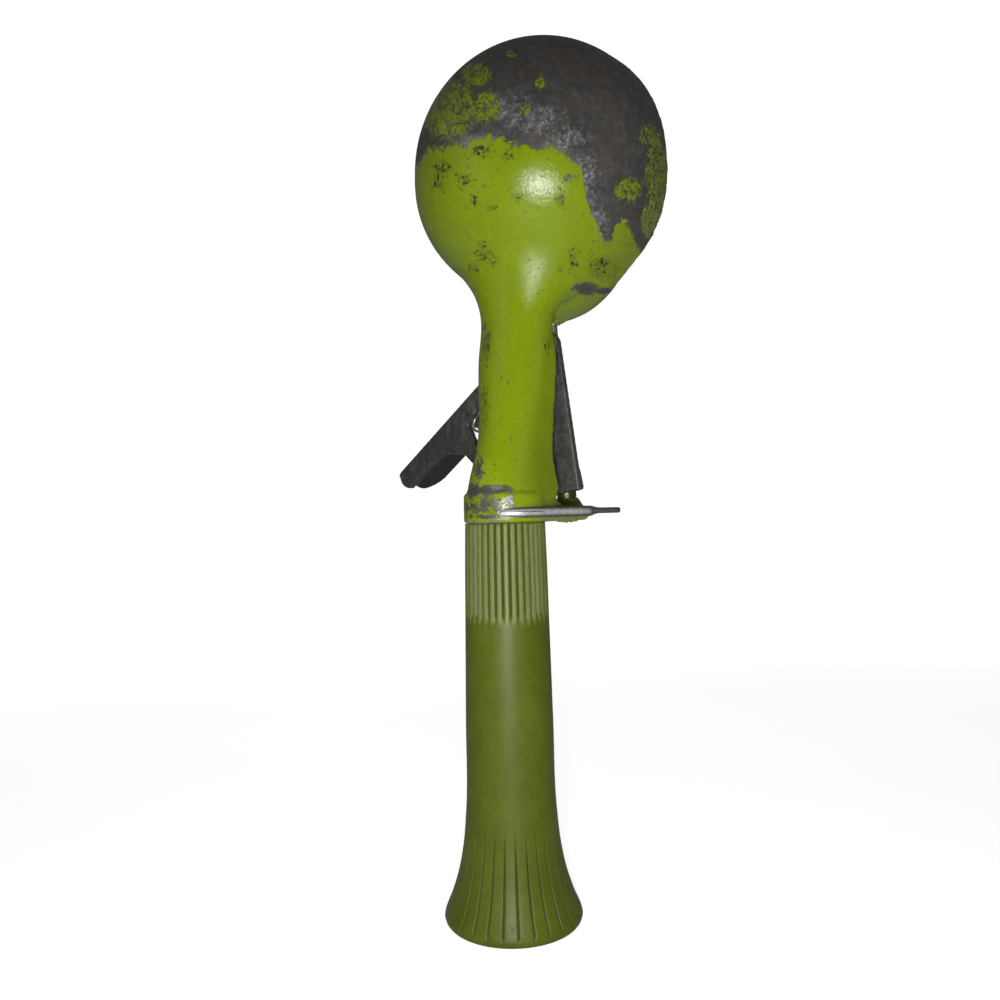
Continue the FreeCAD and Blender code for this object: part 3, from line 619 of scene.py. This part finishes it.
def gridMesh(name, points, closed=True):
    # points is an array of rows by columns by 3; a closed one joins its columns and caps its ends
    rows, columns = points.shape[:2]
    index = np.arange(rows * columns).reshape(rows, columns)
    following = np.roll(index, -1, axis=1) if closed else index[:, 1:]
    current = index if closed else index[:, :-1]
    corners = [current[:-1], following[:-1], following[1:], current[1:]]
    faces = np.stack(corners, axis=-1).reshape(-1, 4).tolist()
    if closed:
        faces += [index[0, ::-1].tolist(), index[-1].tolist()]
    mesh = bpy.data.meshes.new(name)
    mesh.from_pydata(points.reshape(-1, 3).tolist(), [], faces)
    mesh.validate()
    mesh.update()
    return mesh


def readVectors(mesh, key):
    flat = np.empty(len(mesh.vertices) * 3, dtype=np.float32)
    mesh.vertices.foreach_get(key, flat)
    return flat.reshape(-1, 3).astype(np.float64)


def readEdges(mesh):
    flat = np.empty(len(mesh.edges) * 2, dtype=np.int32)
    mesh.edges.foreach_get("vertices", flat)
    return flat.reshape(-1, 2)


def writePoints(mesh, points):
    mesh.vertices.foreach_set("co", points.astype(np.float32).ravel())
    mesh.update()


def writeAttribute(mesh, name, values):
    made = mesh.attributes.new(name, "FLOAT", "POINT")
    made.data.foreach_set("value", values.astype(np.float32).ravel())


def neighbourMean(values, edges):
    total = np.zeros(values.shape)
    number = np.zeros(len(values))
    for one, other in ((0, 1), (1, 0)):
        np.add.at(total, edges[:, one], values[edges[:, other]])
        np.add.at(number, edges[:, one], 1)
    number = np.maximum(number, 1)
    return total / (number[:, None] if values.ndim > 1 else number)


def smoothStep(low, high, values):
    # 0 before low, 1 past high, and 3 x share squared - 2 x share cubed between
    share = np.clip((values - low) / (high - low), 0, 1)
    return share * share * (3 - 2 * share)


def hump(low, high, values):
    # 0 below low and above high, 1 halfway, smooth between
    middle = (low + high) / 2
    return smoothStep(low, middle, values) * (1 - smoothStep(middle, high, values))


def smoothCurve(at, pairs):
    # cubic pieces through the pairs, with slopes from their neighbours
    knots, values = np.array(pairs).T
    slopes = np.gradient(values, knots)
    piece = np.clip(np.searchsorted(knots, at) - 1, 0, len(knots) - 2)
    width = knots[piece + 1] - knots[piece]
    share = (at - knots[piece]) / width
    start = (2 * share ** 3 - 3 * share ** 2 + 1) * values[piece]
    startSlope = (share ** 3 - 2 * share ** 2 + share) * width * slopes[piece]
    end = (3 * share ** 2 - 2 * share ** 3) * values[piece + 1]
    endSlope = (share ** 3 - share ** 2) * width * slopes[piece + 1]
    return start + startSlope + end + endSlope


def softened(nodeName, shape, extras=()):
    # the CAD solid, joined with the given meshes, its edges rounded as a worn casting's are
    work = bmesh.new()
    work.from_mesh(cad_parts[nodeName].data)
    for extra in extras:
        work.from_mesh(extra)
    joined = bpy.data.meshes.new(nodeName + "Joined")
    work.to_mesh(joined)
    work.free()
    made = bpy.data.objects.new(nodeName + "Soft", joined)
    bpy.context.scene.collection.objects.link(made)
    remesh = made.modifiers.new("remesh", "REMESH")
    remesh.mode = "VOXEL"
    remesh.voxel_size = shape["voxel"]
    smooth = made.modifiers.new("smooth", "SMOOTH")
    smooth.factor = 0.5
    smooth.iterations = shape["smoothRounds"]
    graph = bpy.context.evaluated_depsgraph_get()
    mesh = bpy.data.meshes.new_from_object(made.evaluated_get(graph))
    bpy.data.objects.remove(made)
    return mesh


def stackedOvals(name, heights, middles, widths, lengths, power):
    # a closed form of ovals at the given heights, boxier where the power is below 1
    around = np.linspace(0, 2 * math.pi, 72, endpoint=False)
    boxy = [np.sign(wave) * np.abs(wave) ** power for wave in (np.cos(around), np.sin(around))]
    across = widths[:, None] * boxy[0]
    forward = middles[:, None] + lengths[:, None] * boxy[1]
    up = heights[:, None] + 0 * around
    return gridMesh(name, np.stack([across, forward, up], axis=-1))


def addEdgeWear(mesh, scale, rounds=2):
    # how far each vertex stands out of its neighbours, 0 to 1
    points = readVectors(mesh, "co")
    edges = readEdges(mesh)
    standing = ((points - neighbourMean(points, edges)) * readVectors(mesh, "normal")).sum(axis=1)
    for _ in range(rounds):
        standing = 0.5 * standing + 0.5 * neighbourMean(standing, edges)
    writeAttribute(mesh, "edgeWear", np.clip(standing / scale, 0, 1))


def shaftPoint(height):
    # how far forward the leaning shaft's axis is at a height
    return bowl["centre"][1] + (bowl["centre"][2] - height) * math.tan(leanAngle)


def fromBowl(points):
    return np.linalg.norm(points - bowl["centre"], axis=1)


# Casting: rounded, with its bowl drawn back to an exact ball and its neck faired into it
def makeCasting():
    web = stackedOvals("footWeb", **footWeb)
    heights, radii = bossFillet["heights"], bossFillet["radii"]
    boss = stackedOvals("bossFillet", heights, shaftPoint(heights), radii, radii, 1.0)
    mesh = softened("bowl_and_shank", casting, (web, boss))
    points = snapToBowl(readVectors(mesh, "co"))
    points = fairNeck(points, readEdges(mesh))
    writePoints(mesh, points)
    points = fuller(points, readVectors(mesh, "normal"))
    writePoints(mesh, points)
    addEdgeWear(mesh, casting["wearScale"])
    addWornPlaces(mesh, points)
    made = newObject("castingLook", mesh, materials["casting"])
    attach(made, "shank")
    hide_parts("bowl_and_shank")


def snapToBowl(points):
    # behind the bowl's widest ring the spoke runs to the centre, in front of it to the axis
    offset = points - bowl["centre"]
    outward = offset @ bowl["out"]
    beyond = np.maximum(outward, 0)[:, None] * bowl["out"]
    spoke = offset - beyond
    inRim = outward < bowl["rim"] - bowl["rimClear"]
    for target in (bowl["radius"], bowl["radius"] - bowl["wall"]):
        length = np.maximum(np.linalg.norm(spoke, axis=1), 1e-9)
        share = inRim * (1 - smoothStep(*bowl["snap"], np.abs(length - target)))
        spoke = spoke * (1 + share * (target / length - 1))[:, None]
    return bowl["centre"] + beyond + spoke


def fairNeck(points, edges):
    # repeated averaging, only where the neck's back runs into the bowl
    height = points[:, 2]
    share = smoothStep(*neck["fairFrom"], height) * (1 - smoothStep(*neck["fairTo"], height))
    share = share * (1 - smoothStep(*neck["fairBehind"], points[:, 1]))
    share = np.where(fromBowl(points) < bowl["radius"] - bowl["skin"], 0, share)
    for _ in range(neck["fairRounds"]):
        toMean = neighbourMean(points, edges) - points
        points = points + neck["fairStep"] * share[:, None] * toMean
    return points


def fuller(points, normals):
    # the bowl's lower half a little wider, the neck a little thicker toward the camera's left,
    # and the flange's back edge drawn in where the collar hides it
    height = points[:, 2]
    outer = fromBowl(points) > bowl["radius"] - bowl["skin"]
    swell = bowl["fuller"] * outer * hump(*bowl["fullerSpan"], height)
    points = points + swell[:, None] * normals * np.array([1, 1, 0])
    share = hump(*neck["fullerSpan"], height)
    share = share * (1 - smoothStep(*neck["fullerBehind"], points[:, 1]))
    points = points + (neck["fuller"] * share)[:, None] * neck["fullerToward"]
    spread = np.hypot(points[:, 0], points[:, 1])
    toward = points[:, :2] / np.maximum(spread, 1e-6)[:, None]
    edgeReach = toward @ np.array(flange["near"][:2]) + flange["near"][2]
    low, high = flange["pulledHeights"]
    atFlange = (edgeReach < flange["collar"]) & (height > low) & (height < high)
    atFlange = atFlange & (spread > flange["collar"])
    pulled = np.where(atFlange, flange["collar"] / np.maximum(spread, 1e-6), 1.0)
    return points * np.stack([pulled, pulled, np.ones_like(pulled)], axis=1)


def addWornPlaces(mesh, points):
    # rows above the edge of the paint are bare metal; all places are as the photo's camera sees
    column, row = toPhoto(points)

    def field(place):
        # the greatest share of all ovals: 1 at an oval's middle, 0 on its edge and beyond
        share = np.zeros(len(column))
        for middleColumn, middleRow, reachAcross, reachDown in worn[place]:
            away = np.hypot((column - middleColumn) / reachAcross, (row - middleRow) / reachDown)
            share = np.maximum(share, 1 - away)
        return share

    facing = (points - bowl["centre"]) @ (cameraPlace - bowl["centre"])
    inside = fromBowl(points) < bowl["radius"] - unseen["insideDepth"]
    onFront = (facing > unseen["frontFrom"]) & ~inside
    behind = np.where(points[:, 2] > unseen["topHeight"], unseen["top"], unseen["rest"])
    behind = np.where(inside, unseen["inside"], behind)
    edgeColumns, edgeRows = zip(*worn["paintEdge"])
    bare = np.where(onFront, np.interp(column, edgeColumns, edgeRows) - row, behind)
    # an oval is bare by gain x its share + rest, in rows
    for place, gain, rest in (("bare", 15, -2), ("mottled", 7, -4)):
        share = field(place)
        bare = np.maximum(bare, np.where((share > 0) & onFront, gain * share + rest, -99))
    writeAttribute(mesh, "bareField", np.clip(bare, -70, 70))
    # factors over 1, cut at 1, keep an oval full up to nearer its edge
    leftover = np.clip(1.7 * field("leftovers"), 0, 0.72) * onFront
    writeAttribute(mesh, "leftoverPaint", leftover)
    cluster = np.clip(1.4 * field("clusters"), 0, 1)
    cluster = np.maximum(cluster, 0.9 * np.clip(2 * field("collarClusters"), 0, 1))
    writeAttribute(mesh, "chipCluster", cluster * onFront)
    # pale places: lighter rubbed metal with painted highlight speckles; on the collar a painted
    # highlight
    paleAndHighlight = np.clip(1.35 * field("paleAndHighlight"), 0, 1)
    paleAndHighlight = np.maximum(paleAndHighlight, np.clip(2 * field("collarPaleAndHighlight"), 0, 1))
    writeAttribute(mesh, "paleMetalAndHighlight", paleAndHighlight * onFront)
    writeAttribute(mesh, "dullPaint", smoothStep(0.0, 0.6, field("dull")) * onFront)


# Flange: an oval plate whose bare edge is polished and has a painted highlight along its middle,
# thick near the collar and thin at its tip
def plateOutline(far, inset, around):
    # the near and far circles and the straight lines that touch both, moved in by the inset
    near = flange["near"]
    toward = np.stack([np.cos(around), np.sin(around)])
    reach = [circle[0] * toward[0] + circle[1] * toward[1] + circle[2] for circle in (near, far)]
    onFar = reach[1] > reach[0]
    across, forward, radius = [np.where(onFar, far[k], near[k]) for k in range(3)]
    return np.stack([across, forward], axis=-1) + (radius - inset)[:, None] * toward.T


def makePlate(name, plate):
    tip = shaftPoint(flange["middle"]) - flange["tipShort"]
    far = (0.0, plate["reach"] * tip, plate["radius"])
    bottom, top = plate["bottom"], plate["top"]
    around = np.linspace(0, 2 * math.pi, 240, endpoint=False)
    turn = np.linspace(-math.pi / 2, math.pi / 2, 13)
    rounded = plate["rounding"] * (1 - np.cos(turn))
    insets = np.concatenate([flange["flatInsets"], rounded, flange["flatInsets"][::-1]])
    middle, half = (top + bottom) / 2, (top - bottom) / 2
    heights = np.concatenate([[bottom, bottom], middle + half * np.sin(turn), [top, top]])
    outlines = np.stack([plateOutline(far, inset, around) for inset in insets])
    up = np.broadcast_to(heights[:, None, None], outlines.shape[:2] + (1,))
    mesh = gridMesh(name, np.concatenate([outlines, up], axis=-1))
    edge = np.repeat(1 - smoothStep(*flange["edgeBand"], insets), len(around))
    # painted highlight: the bare edge brightest halfway up its thickness, fading toward the faces
    centred = 1 - smoothStep(*flange["highlightBand"], np.abs(heights - middle) / half)
    writeAttribute(mesh, "bareField", 100 * edge - 34)
    writeAttribute(mesh, "polishAndHighlight", plate["polishAndHighlight"] * edge * np.repeat(centred, len(around)))
    made = newObject(name, mesh, materials["casting"])
    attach(made, "shank")


# Handle grip: radius by height, with flutes at the top and grooves on the flare
def crowded(count):
    # angles of all columns, drawn together at each of the count grooves
    step = np.arange(grip["around"]) / grip["around"] * count
    drawn = grip["crowding"] * np.sin(2 * math.pi * step) / (2 * math.pi)
    return 2 * math.pi / count * (step - drawn)


def ringAt(radius, height, angles):
    return np.stack(
        [radius * np.cos(angles), radius * np.sin(angles), np.full_like(angles, height)], axis=-1)


def makeGrip():
    height = np.linspace(grip["start"], grip["length"], grip["along"])[:, None]
    upper = crowded(grip["flutes"])
    lower = crowded(grip["flareGrooves"])
    angle = lower + (upper - lower) * smoothStep(*grip["patternChange"], height)
    fluteTurn = np.cos(angle * grip["flutes"])
    ripple = (0.5 + 0.5 * fluteTurn) ** 4
    inFlutes = smoothStep(*grip["fluteStart"], height - grip["fluteWave"] * fluteTurn)
    flute = ripple * inFlutes
    groove = (0.5 + 0.5 * np.cos(angle * grip["flareGrooves"])) ** 26
    groove = groove * smoothStep(*grip["grooveStart"], height)
    groove = groove * (1 - smoothStep(*grip["grooveEnd"], height))
    radius = smoothCurve(height / grip["length"], grip["profile"])
    radius = radius - grip["fluteDepth"] * flute - grip["grooveDepth"] * groove
    up = height + 0 * angle
    rings = np.stack([radius * np.cos(angle), radius * np.sin(angle), up], axis=-1)
    below = np.stack([ringAt(footRadius, footHeight, lower)
                      for footRadius, footHeight in grip["foot"]])
    above = np.stack([ringAt(topRadius, grip["length"], upper)
                      for topRadius in grip["topRadii"]])
    mesh = gridMesh("gripLook", np.concatenate([below, rings, above]))
    looks = {
        # grooves: painted shade, with some grime
        "grooveDepth": np.clip(flute ** 2 + groove, 0, 1),
        # flute crests: rubbed wear and a painted highlight
        "fluteCrestWearAndHighlight": inFlutes * (1 - ripple) ** 3,
    }
    for name, share in looks.items():
        whole = [np.zeros(below.shape[:2]), share, np.zeros(above.shape[:2])]
        writeAttribute(mesh, name, np.concatenate(whole))
    made = newObject("gripLook", mesh, materials["grip"])
    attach(made, "shank")
    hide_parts("handle_grip")


# Thumb lever: rounded, with its pad a little lower, painted shade under the pad, a darker arm
# toward the pad, and painted light on the toothed sector
def makeLever():
    mesh = softened("thumb_lever", lever)
    points = readVectors(mesh, "co")
    side, forward = points[:, 0], points[:, 1]
    onPad = smoothStep(*lever["padProud"], forward) * (1 - smoothStep(*lever["padSide"], side))
    writePoints(mesh, points + onPad[:, None] * lever["padShift"])
    # painted shade under the proud pad; the arm drawn darker toward the pad
    underPad = smoothStep(*lever["padShadeProud"], forward) * onPad
    padShadeAndDarkArm = np.maximum(underPad, lever["darkArmShare"] * smoothStep(*lever["darkArmSide"], side))
    writeAttribute(mesh, "padShadeAndDarkArm", padShadeAndDarkArm)
    # painted light: the toothed sector drawn lighter, as where it faces the lamps
    writeAttribute(mesh, "litSector", smoothStep(*lever["litSectorSide"], side))
    addEdgeWear(mesh, lever["wearScale"], lever["wearRounds"])
    made = newObject("leverLook", mesh, materials["lever"])
    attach(made, "lever")
    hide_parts("thumb_lever")


# Return spring: a round wire along a helix from the lever's seat to the peg
def makeSpring():
    axis = spring["peg"] - spring["seat"]
    length = np.linalg.norm(axis)
    axis = axis / length
    side = np.cross(axis, [0.0, 1.0, 0.0])
    side = side / np.linalg.norm(side)
    other = np.cross(axis, side)
    turns, wire = spring["turns"], spring["wire"] / 2
    span = length - spring["endGap"] - wire
    turn = np.linspace(0, turns, turns * spring["stepsPerTurn"] + 1)
    angle = 2 * math.pi * turn
    rise = spring["startGap"] + span * turn / turns
    outward = np.cos(angle)[:, None] * side + np.sin(angle)[:, None] * other
    path = spring["seat"] + rise[:, None] * axis + spring["radius"] * outward
    along = np.gradient(path, axis=0)
    along = along / np.linalg.norm(along, axis=1)[:, None]
    up = np.cross(along, outward)
    section = np.linspace(0, 2 * math.pi, 14, endpoint=False)[None, :, None]
    skin = np.cos(section) * outward[:, None, :] + np.sin(section) * up[:, None, :]
    mesh = gridMesh("springLook", path[:, None, :] + wire * skin)
    made = newObject("springLook", mesh, materials["spring"])
    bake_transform(made)
    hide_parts("return_spring")


makeCasting()
for plateName, plate in plates.items():
    makePlate(plateName, plate)
makeGrip()
makeLever()
makeSpring()
print("stage: own pieces made")

for nodeName, slot in nodeMaterials.items():
    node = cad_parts[nodeName]
    node.data.materials.clear()
    node.data.materials.append(materials[slot])
print("stage: CAD pieces dressed")


# Floor, lights and camera
def makeFloor():
    # a sheet of paper: flat under the scoop, then curved up behind it
    turn = np.linspace(0, math.pi / 2, 24)
    bend, straight = paper["bend"], paper["straight"]
    curve = straight + bend * np.sin(turn)
    distance = np.concatenate([[paper["front"]], curve, [straight + bend]])
    height = np.concatenate([[0.0], bend * (1 - np.cos(turn)), [paper["wall"]]])
    flatRight, flatAway = flatAxes()
    middle = distance[:, None] * flatAway + height[:, None] * np.array([0.0, 0.0, 1.0])
    side = paper["width"] * flatRight
    mesh = gridMesh("floor", np.stack([middle - side, middle + side], axis=1), closed=False)
    newObject("floor", mesh, makeFloorMaterial())


def makeLamp(name, lamp):
    data = bpy.data.lights.new(name, "AREA")
    data.shape = "RECTANGLE"
    data.size, data.size_y = lamp["size"]
    data.energy = lamp["energy"]
    made = bpy.data.objects.new(name, data)
    bpy.context.scene.collection.objects.link(made)
    right, up, back = lamp["place"]
    flatRight, flatAway = flatAxes()
    place = cameraPlace + flatRight * right - flatAway * back + np.array([0, 0, up])
    made.location = tuple(place)
    direction = Vector(lampTarget) - Vector(place)
    made.rotation_euler = direction.to_track_quat("-Z", "Y").to_euler()
    made.visible_glossy = lamp["mirrored"]


def makeWorld():
    world = bpy.data.worlds.new("studio")
    bpy.context.scene.world = world
    world.use_nodes = True
    background = world.node_tree.nodes["Background"]
    background.inputs["Color"].default_value = (1.0, 1.0, 1.0, 1.0)
    background.inputs["Strength"].default_value = worldStrength


def makeCamera():
    # lens: focal length in pixels x film width / picture width
    data = bpy.data.cameras.new("camera")
    data.sensor_width = filmWidth
    data.lens = photo["focal"] * filmWidth / photo["size"]
    data.clip_start = 0.01
    made = bpy.data.objects.new("camera", data)
    bpy.context.scene.collection.objects.link(made)
    turn = Matrix([cameraRight, cameraUp, -cameraForward]).transposed()
    made.matrix_world = Matrix.Translation(Vector(cameraPlace)) @ turn.to_4x4()
    bpy.context.scene.camera = made


makeFloor()
makeWorld()
makeCamera()
for lampName, lamp in lamps.items():
    makeLamp(lampName, lamp)
bpy.context.scene.view_settings.view_transform = "Standard"
bpy.context.scene.view_settings.look = "None"
bpy.context.scene.view_settings.exposure = 0.0
print("stage: studio ready")
